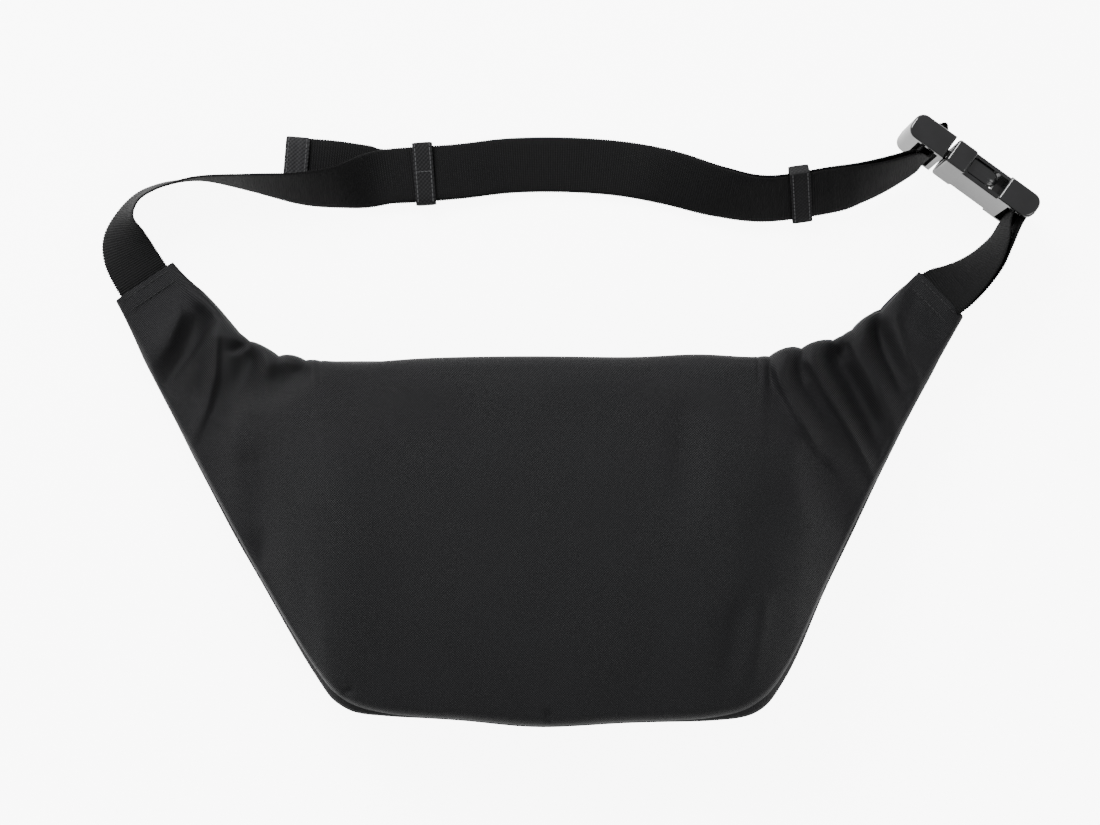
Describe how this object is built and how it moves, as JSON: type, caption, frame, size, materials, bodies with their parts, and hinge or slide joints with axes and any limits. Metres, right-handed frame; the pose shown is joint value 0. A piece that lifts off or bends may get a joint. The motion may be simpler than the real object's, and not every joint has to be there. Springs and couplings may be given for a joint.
{
  "type": "waist pack",
  "caption": "Soft waist pack with gathered wings, padded back, two zipped compartments and a webbing belt with a side release buckle.",
  "frame": {"origin": "on the resting plane under the middle of the bag, which lies on its front", "axes": "+X along the bag from wing to wing, +Y from its bottom edge to its top edge, +Z from the front face to the padded back"},
  "size_m": [0.4611, 0.297, 0.0642],
  "materials": {
    "shell_nylon": "matt woven",
    "lining_nylon": "smooth",
    "foam": "matt",
    "elastic": "ribbed",
    "webbing": "ribbed",
    "keeper_fabric": "ribbed with grey stitching",
    "zip_tape": "woven",
    "zip_coil": "satin",
    "zip_metal": "satin black",
    "buckle_plastic": "semi-gloss"
  },
  "bodies": {
    "bag": {"back_panel": "shell_nylon", "back_foam": "foam", "top_gusset": "shell_nylon", "upper_front_panel": "shell_nylon", "pocket_panel": "shell_nylon", "lower_gusset": "shell_nylon", "lining": "lining_nylon", "pocket_bag": "lining_nylon", "elastic_left": "elastic", "elastic_right": "elastic", "adjustable_strap": "webbing", "strap_end_tab": "keeper_fabric", "fixed_strap": "webbing", "buckle_housing": "buckle_plastic", "main_zip_tape_top": "zip_tape", "main_zip_tape_bottom": "zip_tape", "main_zip_coil_top": "zip_coil", "main_zip_coil_bottom": "zip_coil", "main_zip_stop_left": "zip_metal", "main_zip_stop_right": "zip_metal", "pocket_zip_tape_top": "zip_tape", "pocket_zip_tape_bottom": "zip_tape", "pocket_zip_coil_top": "zip_coil", "pocket_zip_coil_bottom": "zip_coil", "pocket_zip_stop_left": "zip_metal", "pocket_zip_stop_right": "zip_metal"},
    "main_slider": {"main_zip_slider": "zip_metal"},
    "main_pull": {"main_zip_pull": "zip_metal"},
    "pocket_slider": {"pocket_zip_slider": "zip_metal"},
    "pocket_pull": {"pocket_zip_pull": "zip_metal"},
    "plug": {"buckle_plug": "buckle_plastic"},
    "arm_upper": {"latch_arm_upper": "buckle_plastic"},
    "arm_lower": {"latch_arm_lower": "buckle_plastic"},
    "left_keeper": {"keeper_left": "keeper_fabric"},
    "right_keeper": {"keeper_right": "keeper_fabric"}
  },
  "joints": [
    {"name": "main_zip_slide", "type": "slide", "parent": "bag", "child": "main_slider", "axis": [-1, 0, 0], "range_m": [0, 0.172]},
    {"name": "main_pull_swing", "type": "hinge", "parent": "main_slider", "child": "main_pull", "pos_m": [0.0865, 0.09119, 0.02457], "axis": [0, -0.3584, -0.9336], "range_deg": [0, 150]},
    {"name": "pocket_zip_slide", "type": "slide", "parent": "bag", "child": "pocket_slider", "axis": [-1, 0, 0], "range_m": [0, 0.136]},
    {"name": "pocket_pull_swing", "type": "hinge", "parent": "pocket_slider", "child": "pocket_pull", "pos_m": [0.0685, 0.07507, 0.00431], "axis": [0, -0.829, -0.5592], "range_deg": [0, 150]},
    {"name": "buckle_release", "type": "slide", "parent": "bag", "child": "plug", "axis": [-0.809, 0.5878, 0], "range_m": [0, 0.045], "deforming": ["adjustable_strap"]},
    {"name": "upper_arm_press", "type": "hinge", "parent": "plug", "child": "arm_upper", "pos_m": [0.20184, 0.19195, 0.02863], "axis": [0.5846, 0.8046, -0.1045], "range_deg": [0, 6], "stiffness_Nm_per_rad": 0.02},
    {"name": "lower_arm_press", "type": "hinge", "parent": "plug", "child": "arm_lower", "pos_m": [0.20061, 0.19026, 0.00874], "axis": [-0.5846, -0.8046, 0.1045], "range_deg": [0, 6], "stiffness_Nm_per_rad": 0.02},
    {"name": "left_keeper_slide", "type": "slide", "parent": "bag", "child": "left_keeper", "axis": [0.9976, 0.0698, 0], "range_m": [-0.007, 0.007]},
    {"name": "right_keeper_slide", "type": "slide", "parent": "plug", "child": "right_keeper", "axis": [0.9903, 0.1392, 0], "range_m": [-0.007, 0.007]}
  ],
  "couplings": [
    {"joint": "lower_arm_press", "follows": "upper_arm_press", "ratio": 1}
  ]
}
